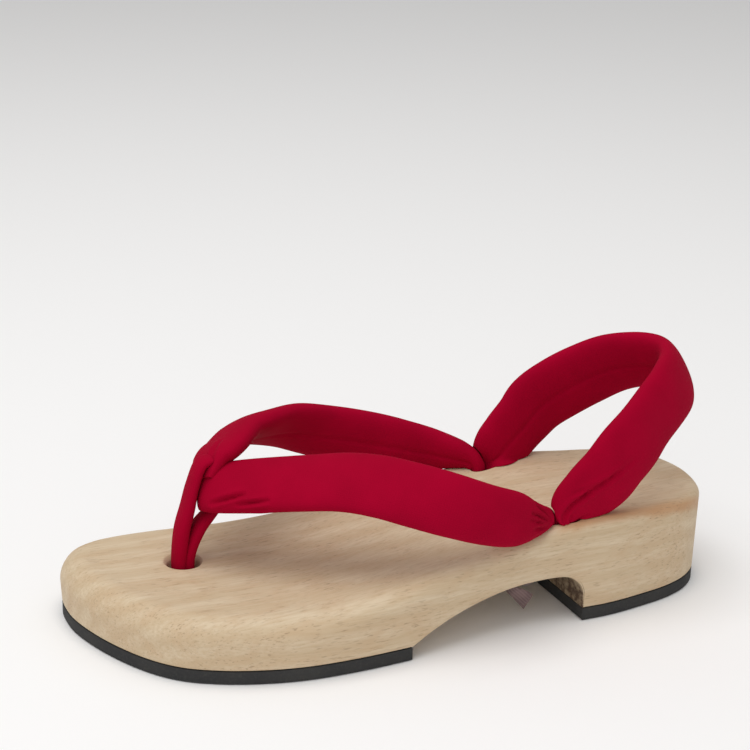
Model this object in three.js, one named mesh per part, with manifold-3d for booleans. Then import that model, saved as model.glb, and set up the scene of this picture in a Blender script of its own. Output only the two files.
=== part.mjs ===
// A left geta: a one-piece carved wooden sole on two rubber pads, held on by padded cloth straps.
//
// Millimetres, +Z up, toes toward -Y, heel toward +Y, the little-toe (outer) side toward +X.
// The origin lies on the floor under the middle of the whole sandal's bounding box.
// Shapes are worked out in "last" coordinates first: x from the heel's centre line, y back from
// the toe tip, z up from the floor. The group at the end moves them to the origin.

import * as THREE from "three";
import { mergeVertices } from "three/addons/utils/BufferGeometryUtils.js";
import Module from "manifold-3d";

const wasm = await Module();
wasm.setup();

// ---- Driving sizes ---------------------------------------------------------------------------

const LENGTH = 241; // toe tip to the back of the heel
const GAP = 0.3; // between neighbouring pieces
const PAD_HIGH = 4.8; // rubber under the forefoot and the heel
const WOOD_BASE = PAD_HIGH + GAP;
const UNDERCUT = 0.5; // the side wall leans in by this much toward the floor
const PAD_BACK = 105.5; // where the forefoot pad and the forefoot's flat end
const BREAST = 176.8; // front face of the heel block

const LOOP_AT = { x: -22, y: 42 }; // hole between the big toe and the second toe
const LOOP_HOLE = 12;
const RECESS = { across: 24, top: 13.6 }; // pocket under the forefoot that holds the front knot
const REAR_HOLE = { long: 14.2, wide: 8.4 }; // slot beside the heel that takes two strap ends
const REAR_HOLE_TOP = { x: 31.3, y: 172.4, z: 47.0 }; // a point on its middle line above the wood
const REAR_HOLE_FOOT = { x: 20.0, y: 157.1, z: 11.0 }; // and one below the arch
const FULLNESS = 0.85; // of a padded strap's section: 1 is an ellipse, less is squarer

// Plan outline: distance of each edge from the centre line, at stations back from the toe tip.
const OUTLINE = [
  { y: 0.0, outer: -31.0, inner: -31.0 },
  { y: 1.2, outer: -19.5, inner: -41.5 },
  { y: 6.2, outer: -3.5, inner: -50.2 },
  { y: 14.4, outer: 13.0, inner: -54.8 },
  { y: 24.0, outer: 24.9, inner: -56.4 },
  { y: 36.0, outer: 32.6, inner: -56.4 },
  { y: 50.0, outer: 38.0, inner: -55.2 },
  { y: 66.0, outer: 41.4, inner: -53.2 },
  { y: 85.0, outer: 42.2, inner: -50.0 },
  { y: 105.0, outer: 41.2, inner: -46.2 },
  { y: 126.0, outer: 39.2, inner: -42.2 },
  { y: 148.0, outer: 37.2, inner: -38.6 },
  { y: 170.0, outer: 36.2, inner: -36.6 },
  { y: 188.0, outer: 36.2, inner: -36.2 },
  { y: 204.0, outer: 34.0, inner: -34.0 },
  { y: 217.5, outer: 31.0, inner: -31.0 },
  { y: 229.0, outer: 25.6, inner: -25.6 },
  { y: 237.4, outer: 16.4, inner: -16.4 },
  { y: LENGTH, outer: 0.0, inner: 0.0 },
];

// Footbed: height of the top along the edge, radius of that edge, depth of the dished middle.
const FOOTBED = [
  { y: 0, top: 22.6, round: 9.0, dish: 0.3 },
  { y: 40, top: 22.6, round: 8.5, dish: 1.2 },
  { y: 66, top: 22.9, round: 8.0, dish: 1.5 },
  { y: 86, top: 24.8, round: 7.0, dish: 1.5 },
  { y: 108, top: 28.2, round: 6.0, dish: 1.4 },
  { y: 132, top: 32.8, round: 5.2, dish: 1.3 },
  { y: 158, top: 37.8, round: 4.4, dish: 1.4 },
  { y: 178, top: 40.0, round: 3.8, dish: 1.8 },
  { y: 205, top: 39.0, round: 3.6, dish: 2.0 },
  { y: LENGTH, top: 38.6, round: 3.6, dish: 0.6 },
];

// Underside between the pads: a ramp up from the forefoot, a flat, then a round into the breast.
const ARCH = [
  { y: PAD_BACK, z: 4.9 },
  { y: 112.5, z: 8.8 },
  { y: 121.0, z: 12.6 },
  { y: 132.0, z: 16.1 },
  { y: 145.0, z: 18.7 },
  { y: 158.0, z: 19.5 },
  { y: 168.5, z: 18.9 },
  { y: 173.4, z: 16.6 },
  { y: 176.0, z: 12.9 },
  { y: BREAST, z: 8.0 },
];

// Straps, section by section: centre of the section, its width and thickness, and the direction
// (fx, fy, fz) in which its broad outer face looks.
const OUTER_ARM = [
  { x: -23.0, y: 49.4, z: 48.4, wide: 15.6, thick: 4.8, fx: 0.3, fy: -0.9, fz: 0.4 },
  { x: -16.4, y: 54.4, z: 50.8, wide: 19.4, thick: 8.2, fx: 0.35, fy: -0.7, fz: 0.65 },
  { x: -8.6, y: 67.0, z: 53.0, wide: 22.3, thick: 9.0, fx: 0.4, fy: -0.45, fz: 0.8 },
  { x: 1.5, y: 79.0, z: 56.0, wide: 23.5, thick: 9.2, fx: 0.45, fy: -0.3, fz: 0.85 },
  { x: 12.5, y: 90.2, z: 59.0, wide: 24.0, thick: 9.2, fx: 0.55, fy: -0.2, fz: 0.8 },
  { x: 22.0, y: 99.8, z: 59.6, wide: 23.5, thick: 9.2, fx: 0.7, fy: -0.15, fz: 0.7 },
  { x: 30.0, y: 110.0, z: 57.8, wide: 23.0, thick: 9.2, fx: 0.85, fy: -0.1, fz: 0.5 },
  { x: 36.0, y: 121.0, z: 54.8, wide: 22.5, thick: 9.2, fx: 0.95, fy: 0.0, fz: 0.3 },
  { x: 38.8, y: 133.8, z: 50.2, wide: 21.5, thick: 9.4, fx: 1.0, fy: 0.1, fz: 0.12 },
  { x: 38.0, y: 145.5, z: 46.4, wide: 19.5, thick: 9.6, fx: 1.0, fy: 0.2, fz: 0.1 },
  { x: 34.2, y: 154.6, z: 43.3, wide: 12.8, thick: 9.2, fx: 0.9, fy: 0.4, fz: 0.2 },
  { x: 29.4, y: 162.8, z: 40.6, wide: 7.6, thick: 6.6, fx: 0.8, fy: 0.5, fz: 0.3 },
  { x: 27.5, y: 163.8, z: 35.0, wide: 6.4, thick: 5.8, fx: 0.1, fy: 1.0, fz: 0.3 },
  { x: 23.1, y: 157.8, z: 21.0, wide: 6.4, thick: 5.8, fx: 0.0, fy: 1.0, fz: -0.3 },
];

const INNER_ARM = [
  { x: -22.6, y: 50.4, z: 51.6, wide: 13.4, thick: 4.8, fx: -0.1, fy: -0.9, fz: 0.4 },
  { x: -26.8, y: 54.6, z: 57.4, wide: 20.0, thick: 8.0, fx: 0.0, fy: -0.85, fz: 0.55 },
  { x: -30.8, y: 61.4, z: 60.0, wide: 22.8, thick: 8.8, fx: -0.1, fy: -0.65, fz: 0.78 },
  { x: -38.8, y: 70.0, z: 62.0, wide: 22.8, thick: 9.2, fx: -0.4, fy: -0.35, fz: 0.85 },
  { x: -43.4, y: 79.8, z: 61.2, wide: 23.5, thick: 9.2, fx: -0.6, fy: -0.2, fz: 0.75 },
  { x: -47.8, y: 92.4, z: 58.6, wide: 23.5, thick: 9.2, fx: -0.8, fy: -0.1, fz: 0.55 },
  { x: -49.2, y: 107.0, z: 53.8, wide: 23.0, thick: 9.2, fx: -0.95, fy: 0.0, fz: 0.3 },
  { x: -47.2, y: 122.0, z: 50.0, wide: 22.5, thick: 9.2, fx: -1.0, fy: 0.1, fz: 0.15 },
  { x: -43.2, y: 136.5, z: 46.6, wide: 21.0, thick: 9.4, fx: -1.0, fy: 0.15, fz: 0.1 },
  { x: -38.6, y: 149.0, z: 44.4, wide: 17.5, thick: 9.6, fx: -0.95, fy: 0.3, fz: 0.15 },
  { x: -33.0, y: 158.6, z: 42.8, wide: 12.0, thick: 8.6, fx: -0.85, fy: 0.45, fz: 0.25 },
  { x: -29.4, y: 162.8, z: 40.6, wide: 7.6, thick: 6.6, fx: -0.8, fy: 0.5, fz: 0.3 },
  { x: -27.5, y: 163.8, z: 35.0, wide: 6.4, thick: 5.8, fx: -0.1, fy: 1.0, fz: 0.3 },
  { x: -23.1, y: 157.8, z: 21.0, wide: 6.4, thick: 5.8, fx: 0.0, fy: 1.0, fz: -0.3 },
];

// Half of the heel strap, from the outer rear hole to the back of the ankle.
const HEEL_HALF = [
  { x: 23.1, y: 164.6, z: 21.0, wide: 6.4, thick: 5.8, fx: 0.0, fy: 1.0, fz: -0.3 },
  { x: 27.5, y: 170.7, z: 35.0, wide: 6.6, thick: 5.8, fx: 0.3, fy: 1.0, fz: 0.1 },
  { x: 29.9, y: 173.4, z: 42.4, wide: 21.6, thick: 8.4, fx: 0.97, fy: 0.0, fz: -0.2 },
  { x: 30.8, y: 179.0, z: 48.6, wide: 25.0, thick: 8.8, fx: 0.98, fy: 0.05, fz: 0.0 },
  { x: 31.8, y: 185.8, z: 54.8, wide: 26.6, thick: 9.0, fx: 0.98, fy: 0.12, fz: 0.1 },
  { x: 31.4, y: 191.8, z: 61.2, wide: 27.8, thick: 9.0, fx: 0.95, fy: 0.25, fz: 0.15 },
  { x: 29.2, y: 199.6, z: 66.8, wide: 28.0, thick: 9.0, fx: 0.9, fy: 0.4, fz: 0.2 },
  { x: 25.0, y: 208.0, z: 72.6, wide: 27.2, thick: 9.0, fx: 0.8, fy: 0.6, fz: 0.28 },
  { x: 19.6, y: 217.8, z: 78.0, wide: 26.4, thick: 9.0, fx: 0.68, fy: 0.7, fz: 0.36 },
  { x: 11.2, y: 226.6, z: 81.2, wide: 25.6, thick: 9.0, fx: 0.4, fy: 0.8, fz: 0.44 },
];
const HEEL_BACK = { x: 0, y: 230.4, z: 82.6, wide: 25.2, thick: 9.0, fx: 0, fy: 0.87, fz: 0.49 };

// ---- Small geometry helpers ------------------------------------------------------------------

// Closed BufferGeometry from shared vertices and triangles.
function geometryOf(points, triangles) {
  const geometry = new THREE.BufferGeometry();
  geometry.setAttribute("position", new THREE.Float32BufferAttribute(points.flat(), 3));
  geometry.setIndex(triangles.flat());
  return geometry;
}

// Solid of shared vertices and triangles, turned right side out.
function solidOf(points, triangles) {
  const make = (faces) =>
    new wasm.Manifold(
      new wasm.Mesh({
        numProp: 3,
        vertProperties: new Float32Array(points.flat()),
        triVerts: new Uint32Array(faces.flat()),
      }),
    );
  const solid = make(triangles);
  return solid.volume() > 0 ? solid : make(triangles.map(([a, b, c]) => [a, c, b]));
}

function geometryOfSolid(solid) {
  const mesh = solid.getMesh();
  const points = [];
  for (let i = 0; i < mesh.numVert; i++) {
    points.push([...mesh.vertProperties.slice(i * mesh.numProp, i * mesh.numProp + 3)]);
  }
  return geometryOf(points, [[...mesh.triVerts]]);
}

// A row of a table between its rows, each column on a smooth curve through the table's values.
function rowAt(table, place) {
  const last = table.length - 1;
  const step = Math.min(Math.floor(place), last - 1);
  const part = place - step;
  const row = {};
  for (const key of Object.keys(table[0])) {
    const [before, from, to, after] = [-1, 0, 1, 2].map(
      (k) => table[Math.min(Math.max(step + k, 0), last)][key],
    );
    const slopeFrom = (to - before) / 2;
    const slopeTo = (after - from) / 2;
    const rise = to - from;
    row[key] =
      from +
      part * (slopeFrom + part * (3 * rise - 2 * slopeFrom - slopeTo) +
        part * part * (slopeFrom + slopeTo - 2 * rise));
  }
  return row;
}

// The row of a table at a distance y back from the toe tip.
function rowAtY(table, y) {
  let step = 0;
  while (step < table.length - 2 && table[step + 1].y < y) step += 1;
  const part = (y - table[step].y) / (table[step + 1].y - table[step].y);
  return rowAt(table, step + Math.min(Math.max(part, 0), 1));
}

// Skin over closed rings of equally many points, with its end rings closed by a fan.
function skinOver(rings) {
  const count = rings[0].length;
  const points = rings.flat();
  const triangles = [];
  for (let r = 0; r + 1 < rings.length; r++) {
    for (let i = 0; i < count; i++) {
      const a = r * count + i;
      const b = r * count + ((i + 1) % count);
      triangles.push([a, b, b + count], [a, b + count, a + count]);
    }
  }
  const middle = (ring) => [0, 1, 2].map((k) => ring.reduce((sum, p) => sum + p[k], 0) / count);
  const first = points.push(middle(rings[0])) - 1;
  const last = points.push(middle(rings.at(-1))) - 1;
  const top = (rings.length - 1) * count;
  for (let i = 0; i < count; i++) {
    const next = (i + 1) % count;
    triangles.push([first, next, i], [last, top + i, top + next]);
  }
  return solidOf(points, triangles);
}

// ---- Sole ------------------------------------------------------------------------------------

const STATIONS = 44; // along each side of the outline, closest together round the toe and heel

// Outline point number i: down the outer side from the toe tip to the heel, then up the inner side.
function outlineRing() {
  const side = (key) =>
    Array.from({ length: STATIONS + 1 }, (_, i) => {
      const place = ((OUTLINE.length - 1) * i) / STATIONS;
      const row = rowAt(OUTLINE, place);
      return [row[key], row.y];
    });
  const inner = side("inner").slice(1, -1).reverse();
  return [...side("outer"), ...inner];
}

// The outline moved inward by a distance.
function insetRing(ring, distance) {
  const count = ring.length;
  return ring.map(([x, y], i) => {
    const [bx, by] = ring[(i + count - 1) % count];
    const [ax, ay] = ring[(i + 1) % count];
    const run = Math.hypot(ax - bx, ay - by);
    return [x - (distance * (ay - by)) / run, y + (distance * (ax - bx)) / run];
  });
}

// Solid block with the sole's outline: rings of points, flat below, closed across at the top by
// strips that join each outer point to the inner point opposite it.
function soleBlock(rings) {
  const count = rings[0].length;
  const points = rings.flat();
  const triangles = [];
  for (let r = 0; r + 1 < rings.length; r++) {
    for (let i = 0; i < count; i++) {
      const a = r * count + i;
      const b = r * count + ((i + 1) % count);
      triangles.push([a, b, b + count], [a, b + count, a + count]);
    }
  }
  const top = (rings.length - 1) * count;
  for (let i = 0; i < STATIONS; i++) {
    const across = [i, i + 1, (count - i - 1) % count, (count - i) % count];
    const faces = [across.slice(0, 3), [across[0], across[2], across[3]]];
    for (const face of faces) {
      if (new Set(face).size < 3) continue;
      triangles.push(face.map((k) => top + k), [...face].reverse());
    }
  }
  return solidOf(points, triangles);
}

// Wood: wall, rounded edge, then the dished footbed in rings that close in on the middle.
// Thicker all round by grow.
function woodBlock(grow = 0) {
  const outline = insetRing(outlineRing(), -grow);
  const count = outline.length;
  const rings = [insetRing(outline, UNDERCUT).map(([x, y]) => [x, y, WOOD_BASE - grow])];
  const edge = outline.map(([, y]) => rowAtY(FOOTBED, y));
  rings.push(outline.map(([x, y], i) => [x, y, edge[i].top - edge[i].round]));

  const EDGE_STEPS = 5;
  let rim = outline;
  for (let k = 1; k <= EDGE_STEPS; k++) {
    const turn = ((Math.PI / 2) * k) / EDGE_STEPS;
    rim = outline.map((_, i) => insetRing(outline, edge[i].round * (1 - Math.cos(turn)))[i]);
    rings.push(
      rim.map(([x, y], i) => {
        const { round } = edge[i];
        return [x, y, rowAtY(FOOTBED, y).top + grow - round * (1 - Math.sin(turn))];
      }),
    );
  }

  const INNER_RINGS = [0.78, 0.52, 0.26];
  for (const share of INNER_RINGS) {
    rings.push(
      rim.map(([x, y], i) => {
        const [ox, oy] = rim[(count - i) % count];
        const [mx, my] = [(x + ox) / 2, (y + oy) / 2];
        const { top, dish } = rowAtY(FOOTBED, my);
        const height = top + grow - dish * (1 - share * share);
        return [mx + share * (x - mx), my + share * (y - my), height];
      }),
    );
  }
  return soleBlock(rings);
}

// Rubber of the sole's outline from the floor up to the wood.
function padBlock() {
  const ring = insetRing(outlineRing(), UNDERCUT);
  return soleBlock([0, PAD_HIGH].map((z) => ring.map(([x, y]) => [x, y, z])));
}

function block(low, high) {
  const geometry = new THREE.BoxGeometry(...low.map((v, k) => high[k] - v));
  geometry.translate(...low.map((v, k) => (v + high[k]) / 2));
  return solidOfGeometry(geometry);
}

function solidOfGeometry(geometry) {
  geometry.deleteAttribute("normal");
  geometry.deleteAttribute("uv");
  const merged = mergeVertices(geometry, 1e-4);
  const { array } = merged.attributes.position;
  const points = Array.from({ length: array.length / 3 }, (_, i) => [...array.slice(3 * i, 3 * i + 3)]);
  const index = [...merged.index.array];
  const triangles = [];
  for (let i = 0; i < index.length; i += 3) triangles.push(index.slice(i, i + 3));
  return solidOf(points, triangles);
}

// The space under the arch, right across the sole.
function archSpace() {
  const SMOOTH = 28;
  const below = -5;
  const curve = Array.from({ length: SMOOTH + 1 }, (_, i) =>
    rowAt(ARCH, ((ARCH.length - 1) * i) / SMOOTH),
  );
  const shape = new THREE.Shape();
  shape.moveTo(PAD_BACK, below);
  for (const { y, z } of curve) shape.lineTo(y, z);
  shape.lineTo(BREAST, below);
  shape.closePath();
  const across = 160;
  const geometry = new THREE.ExtrudeGeometry(shape, { depth: across, bevelEnabled: false });
  // Extruded along its own z: turn it so that the profile's axes become y and z.
  geometry.applyMatrix4(new THREE.Matrix4().makeBasis(
    new THREE.Vector3(0, 1, 0),
    new THREE.Vector3(0, 0, 1),
    new THREE.Vector3(1, 0, 0),
  ));
  geometry.translate(-across / 2, 0, 0);
  return solidOfGeometry(geometry);
}

// ---- Straps ----------------------------------------------------------------------------------

// Padded tube through the sections of a table, thicker all round and longer at each end by grow.
function strap(table, { steps, sides = 12, grow = 0 }) {
  const rings = [];
  for (let s = 0; s <= steps; s++) {
    const place = ((table.length - 1) * s) / steps;
    const row = rowAt(table, place);
    const ahead = rowAt(table, Math.min(place + 0.05, table.length - 1));
    const back = rowAt(table, Math.max(place - 0.05, 0));
    const along = new THREE.Vector3(ahead.x - back.x, ahead.y - back.y, ahead.z - back.z).normalize();
    const face = new THREE.Vector3(row.fx, row.fy, row.fz);
    face.addScaledVector(along, -face.dot(along)).normalize();
    const broad = new THREE.Vector3().crossVectors(along, face);
    const ring = [];
    for (let i = 0; i < sides; i++) {
      const turn = (2 * Math.PI * i) / sides;
      const pillow = (v) => Math.sign(v) * Math.abs(v) ** FULLNESS;
      const across = (row.wide / 2 + grow) * pillow(Math.cos(turn));
      const out = (row.thick / 2 + grow) * pillow(Math.sin(turn));
      const point = new THREE.Vector3(row.x, row.y, row.z);
      point.addScaledVector(along, s === 0 ? -grow : s === steps ? grow : 0);
      point.addScaledVector(broad, across).addScaledVector(face, out);
      ring.push(point.toArray());
    }
    rings.push(ring);
  }
  return skinOver(rings);
}

const mirrored = (row) => ({ ...row, x: -row.x, fx: -row.fx });
const HEEL_STRAP = [...HEEL_HALF, HEEL_BACK, ...HEEL_HALF.map(mirrored).reverse()];

const frontArms = (grow = 0) =>
  strap(OUTER_ARM, { steps: 39, grow }).add(strap(INNER_ARM, { steps: 39, grow }));

// What a strap pressed against the footbed keeps clear of: the wood beside its slots, with the gap.
const woodKept = woodBlock(GAP).subtract(rearHole(1, -GAP)).subtract(rearHole(-1, -GAP));
const frontStrap = () => frontArms().subtract(woodKept);
const heelStrap = () =>
  strap(HEEL_STRAP, { steps: 60 }).subtract(woodKept).subtract(frontArms(GAP));

// The front loop goes round the join of the two arms and down through the sole: a narrow padded
// band over the front of the join, a second one behind it, and the stem that they make below.
const LOOP_FRONT = [
  { x: -22.4, y: 54.4, z: 60.0, wide: 7.4, thick: 3.2, fx: 0.0, fy: 0.1, fz: 1.0 },
  { x: -22.4, y: 49.2, z: 58.6, wide: 8.2, thick: 3.6, fx: 0.0, fy: -0.7, fz: 0.7 },
  { x: -22.3, y: 45.8, z: 50.5, wide: 9.0, thick: 3.8, fx: 0.0, fy: -1.0, fz: 0.3 },
  { x: -22.0, y: 43.8, z: 42.5, wide: 9.4, thick: 4.6, fx: 0.0, fy: -1.0, fz: 0.25 },
  { x: -22.0, y: 41.6, z: 34.0, wide: 9.4, thick: 5.2, fx: 0.0, fy: -1.0, fz: 0.15 },
  { x: -22.0, y: 40.4, z: 24.0, wide: 9.2, thick: 5.2, fx: 0.0, fy: -1.0, fz: 0.0 },
  { x: -22.0, y: 40.4, z: 14.2, wide: 8.4, thick: 5.0, fx: 0.0, fy: -1.0, fz: 0.0 },
];
const LOOP_BACK = [
  { x: -22.4, y: 52.0, z: 60.0, wide: 7.4, thick: 3.2, fx: 0.0, fy: -0.1, fz: 1.0 },
  { x: -23.4, y: 57.4, z: 55.8, wide: 6.0, thick: 3.0, fx: 0.0, fy: 0.8, fz: 0.6 },
  { x: -23.4, y: 58.4, z: 50.0, wide: 5.0, thick: 3.4, fx: 0.0, fy: 1.0, fz: 0.0 },
  { x: -22.2, y: 55.0, z: 42.5, wide: 6.4, thick: 4.0, fx: 0.0, fy: 1.0, fz: -0.5 },
  { x: -22.0, y: 47.6, z: 34.0, wide: 9.0, thick: 5.0, fx: 0.0, fy: 1.0, fz: -0.4 },
  { x: -22.0, y: 43.6, z: 24.0, wide: 9.2, thick: 5.0, fx: 0.0, fy: 1.0, fz: 0.0 },
  { x: -22.0, y: 43.6, z: 14.2, wide: 8.4, thick: 5.0, fx: 0.0, fy: 1.0, fz: 0.0 },
];
const toeLoop = () =>
  strap(LOOP_FRONT, { steps: 20, sides: 10 })
    .add(strap(LOOP_BACK, { steps: 20, sides: 10 }))
    .subtract(frontArms(GAP));

// ---- Holes, knots and tape ends --------------------------------------------------------------

// Slanted slot beside the heel: top and bottom centres, mirrored for the inner side.
function rearHole(side, grow = 0) {
  const end = ({ x, y, z }) => ({
    x: side * x, y, z, wide: REAR_HOLE.long, thick: REAR_HOLE.wide, fx: 1, fy: 0, fz: 0,
  });
  return strap([end(REAR_HOLE_TOP), end(REAR_HOLE_FOOT)], { steps: 1, sides: 20, grow });
}

function upright(x, y, low, high, across) {
  const geometry = new THREE.CylinderGeometry(across / 2, across / 2, high - low, 28);
  geometry.rotateX(Math.PI / 2);
  geometry.translate(x, y, (low + high) / 2);
  return solidOfGeometry(geometry);
}

function lump(x, y, z, [long, deep, high], turn = 0) {
  const geometry = new THREE.SphereGeometry(0.5, 12, 8);
  geometry.scale(long, deep, high);
  geometry.rotateZ(turn);
  geometry.translate(x, y, z);
  return solidOfGeometry(geometry);
}

// A knot of two crossing lumps.
const knot = (x, y, z, size) => lump(x, y, z, size, 0.6).add(lump(x, y, z, size, -0.9));

// End of the tape that the rear knot is tied with: it loops forward, then hangs back down.
const TAPE = [
  { x: 22.0, y: 154.0, z: 16.0, wide: 6.0, thick: 1.6, fx: 0.3, fy: -0.2, fz: -1.0 },
  { x: 25.0, y: 149.6, z: 15.4, wide: 5.0, thick: 1.4, fx: 0.6, fy: -0.6, fz: -0.6 },
  { x: 27.6, y: 150.6, z: 13.8, wide: 4.6, thick: 1.2, fx: 0.8, fy: -0.5, fz: -0.4 },
  { x: 28.0, y: 154.0, z: 11.4, wide: 5.6, thick: 1.1, fx: 0.9, fy: -0.3, fz: -0.3 },
  { x: 28.0, y: 158.0, z: 7.6, wide: 7.2, thick: 1.0, fx: 0.9, fy: -0.3, fz: -0.3 },
];
function rearKnot(side) {
  const tape = side > 0 ? TAPE : TAPE.map(mirrored);
  return knot(22 * side, 157.4, 15.9, [12.5, 9.0, 6.2]).add(strap(tape, { steps: 14, sides: 8 }));
}

// ---- Pieces ----------------------------------------------------------------------------------

const loopHole = (low, high, across) => upright(LOOP_AT.x, LOOP_AT.y, low, high, across);

function wood() {
  return woodBlock()
    .subtract(archSpace())
    .subtract(rearHole(1))
    .subtract(rearHole(-1))
    .subtract(loopHole(0, 60, LOOP_HOLE))
    .subtract(loopHole(0, RECESS.top, RECESS.across));
}

const FAR = 400;
const forefootPad = () =>
  padBlock()
    .intersect(block([-FAR, -FAR, -1], [FAR, PAD_BACK, FAR]))
    .subtract(loopHole(-1, 20, RECESS.across + 1));
const heelPad = () => padBlock().intersect(block([-FAR, BREAST, -1], [FAR, FAR, FAR]));

const CLOTH = { color: 0xb3122b, roughness: 0.85, metalness: 0 };
const TAPE_CLOTH = { color: 0xa99a9c, roughness: 0.9, metalness: 0 };
const RUBBER = { color: 0x2b2b2e, roughness: 0.8, metalness: 0 };
const PIECES = [
  { name: "sole_wood", solid: wood(), look: { color: 0xe3c79c, roughness: 0.6, metalness: 0 } },
  { name: "pad_forefoot", solid: forefootPad(), look: RUBBER },
  { name: "pad_heel", solid: heelPad(), look: RUBBER },
  { name: "strap_front", solid: frontStrap(), look: CLOTH },
  { name: "strap_heel", solid: heelStrap(), look: CLOTH },
  { name: "toe_loop", solid: toeLoop(), look: CLOTH },
  { name: "knot_front", solid: knot(LOOP_AT.x, LOOP_AT.y, 9.6, [17, 12, 6.6]), look: TAPE_CLOTH },
  { name: "knot_outer", solid: rearKnot(1), look: TAPE_CLOTH },
  { name: "knot_inner", solid: rearKnot(-1), look: TAPE_CLOTH },
];

// Middle of the bounding box in last coordinates.
const ORIGIN = { x: -6.4, y: LENGTH / 2 };

const sandal = new THREE.Group();
for (const { name, solid, look } of PIECES) {
  const mesh = new THREE.Mesh(geometryOfSolid(solid), new THREE.MeshStandardMaterial(look));
  mesh.name = name;
  mesh.position.set(-ORIGIN.x, -ORIGIN.y, 0);
  sandal.add(mesh);
}

export default sandal;
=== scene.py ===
import math

import bpy
import numpy as np
from mathutils import Matrix, Vector


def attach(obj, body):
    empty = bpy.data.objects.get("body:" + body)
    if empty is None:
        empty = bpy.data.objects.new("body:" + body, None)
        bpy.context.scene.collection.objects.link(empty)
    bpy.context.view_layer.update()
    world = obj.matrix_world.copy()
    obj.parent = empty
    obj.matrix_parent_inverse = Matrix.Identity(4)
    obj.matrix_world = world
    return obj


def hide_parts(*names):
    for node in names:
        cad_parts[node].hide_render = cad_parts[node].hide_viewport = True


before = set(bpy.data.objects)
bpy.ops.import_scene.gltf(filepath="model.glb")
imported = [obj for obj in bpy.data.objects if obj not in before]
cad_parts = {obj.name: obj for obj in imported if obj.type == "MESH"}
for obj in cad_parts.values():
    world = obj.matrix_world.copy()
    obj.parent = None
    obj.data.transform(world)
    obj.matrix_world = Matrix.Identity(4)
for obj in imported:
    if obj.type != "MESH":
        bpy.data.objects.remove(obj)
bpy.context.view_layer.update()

# ---- Camera and studio ---------------------------------------------------------------------------
# The camera stands at the outer side of the left sandal, turned about 24 degrees toward the toe,
# and looks down on it from about 19 degrees. A pale floor and two large soft lamps are the studio.

CAMERA_AT = (0.5555, -0.2632, 0.3021)
CAMERA_AIM = (-0.0466, 0.0103, 0.0725)
CAMERA_ROLL = 1.42  # degrees
LENS = 86.48  # mm, on a 36 mm wide sensor

lens = bpy.data.cameras.new("camera")
lens.lens = LENS
lens.sensor_width = 36.0
lens.clip_start = 0.01
camera = bpy.data.objects.new("camera", lens)
bpy.context.scene.collection.objects.link(camera)
looking = (Vector(CAMERA_AIM) - Vector(CAMERA_AT)).to_track_quat("-Z", "Y")
camera.matrix_world = (
    Matrix.Translation(CAMERA_AT)
    @ looking.to_matrix().to_4x4()
    @ Matrix.Rotation(math.radians(CAMERA_ROLL), 4, "Z")
)
bpy.context.scene.camera = camera
bpy.context.scene.view_settings.view_transform = "Standard"


def linear(code):
    """A colour for a shader from its sRGB hex code: each channel below 0.04045 is divided by
    12.92, and a brighter one is moved by 0.055, scaled and raised to the power of 2.4."""
    srgb = np.array([int(code[i : i + 2], 16) for i in (1, 3, 5)]) / 255.0
    bright = ((srgb + 0.055) / 1.055) ** 2.4
    return (*np.where(srgb <= 0.04045, srgb / 12.92, bright).tolist(), 1.0)


def add(tree, kind, settings=(), links=()):
    """Adds one shader node, sets its own settings, and sets or links its inputs."""
    node = tree.nodes.new("ShaderNode" + kind)
    for name, value in dict(settings).items():
        setattr(node, name, value)
    for name, value in dict(links).items():
        if isinstance(value, bpy.types.NodeSocket):
            tree.links.new(value, node.inputs[name])
        else:
            node.inputs[name].default_value = value
    return node


def new_material(name, shader):
    """An empty material with one principled shader on its output, and that shader's fixed values."""
    material = bpy.data.materials.new(name)
    material.use_nodes = True
    tree = material.node_tree
    tree.nodes.clear()
    surface = add(tree, "BsdfPrincipled", (), shader)
    add(tree, "OutputMaterial", (), {"Surface": surface.outputs["BSDF"]})
    return material, tree, surface


# Painted board, rolled matt: it gives no highlight, only the soft shadow.
studio_board, _, _ = new_material(
    "studio_board", {"Base Color": linear("#faf9f8"), "Roughness": 0.95}
)
FLOOR_HALF = 4.0
floor_mesh = bpy.data.meshes.new("floor")
floor_mesh.from_pydata(
    [(x * FLOOR_HALF, y * FLOOR_HALF, -0.0002) for x, y in ((-1, -1), (1, -1), (1, 1), (-1, 1))],
    [],
    [(0, 1, 2, 3)],
)
floor = bpy.data.objects.new("floor", floor_mesh)
bpy.context.scene.collection.objects.link(floor)
floor_mesh.materials.append(studio_board)

SKY = 0.5  # even light from all round
LAMPS = [  # name, place, power in watts, side of the lamp in metres
    ("lamp_above", (0.1, -0.35, 1.5), 13.5, 1.3),
    ("lamp_beside", (1.3, -0.9, 0.85), 3.2, 1.1),
]
world = bpy.data.worlds.new("studio")
world.use_nodes = True
world.node_tree.nodes["Background"].inputs["Color"].default_value = linear("#ffffff")
world.node_tree.nodes["Background"].inputs["Strength"].default_value = SKY
bpy.context.scene.world = world
for name, place, power, side in LAMPS:
    light = bpy.data.lights.new(name, "AREA")
    light.energy = power
    light.size = side
    lamp = bpy.data.objects.new(name, light)
    lamp.location = place
    lamp.rotation_euler = (-Vector(place)).to_track_quat("-Z", "Y").to_euler()
    bpy.context.scene.collection.objects.link(lamp)

# ---- Sole ----------------------------------------------------------------------------------------
# One block of pale rubberwood, sawn to the outline, carved to a dished footbed with a round edge,
# arched underneath in front of the heel, drilled for the straps, then sanded and left unpainted.

ORIGIN = np.array([-6.4, 120.5, 0.0])  # the frame's origin, from the heel line and the toe tip
LENGTH = 241.0
WOOD_BASE = 5.1
UNDERCUT = 0.5
ARCH_FRONT = 105.9  # where the arch leaves the flat underside
BREAST = 176.8
ARRIS = 0.6  # radius that sanding leaves on the lower edges
LOOP_AT = (-22.0, 42.0)

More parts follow.
